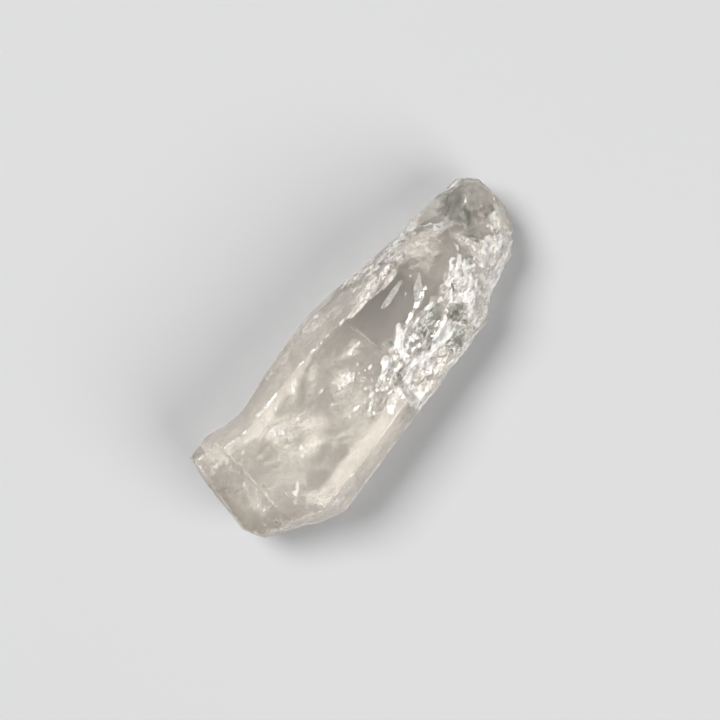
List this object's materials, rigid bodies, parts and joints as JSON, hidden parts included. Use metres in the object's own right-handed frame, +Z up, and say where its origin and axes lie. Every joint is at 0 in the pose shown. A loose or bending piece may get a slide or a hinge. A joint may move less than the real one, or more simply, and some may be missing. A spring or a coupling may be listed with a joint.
{
  "type": "quartz crystal",
  "caption": "Raw clear to milky quartz point: a flattened six-sided prism with a blunt tip, a broken base and an etched, scarred side; a mineral specimen.",
  "frame": {"origin": "middle of the underside of the crystal's box, on the surface it lies on", "axes": "+X along the crystal from its broken base to its tip, +Z up through the front face, +Y to the left of the tip"},
  "size_m": [0.061, 0.0225, 0.015],
  "materials": {
    "quartz": "clear to milky colourless quartz, glassy faces with an etched and frosted side"
  },
  "bodies": {
    "root": {"quartz_crystal": "quartz"}
  },
  "joints": []
}
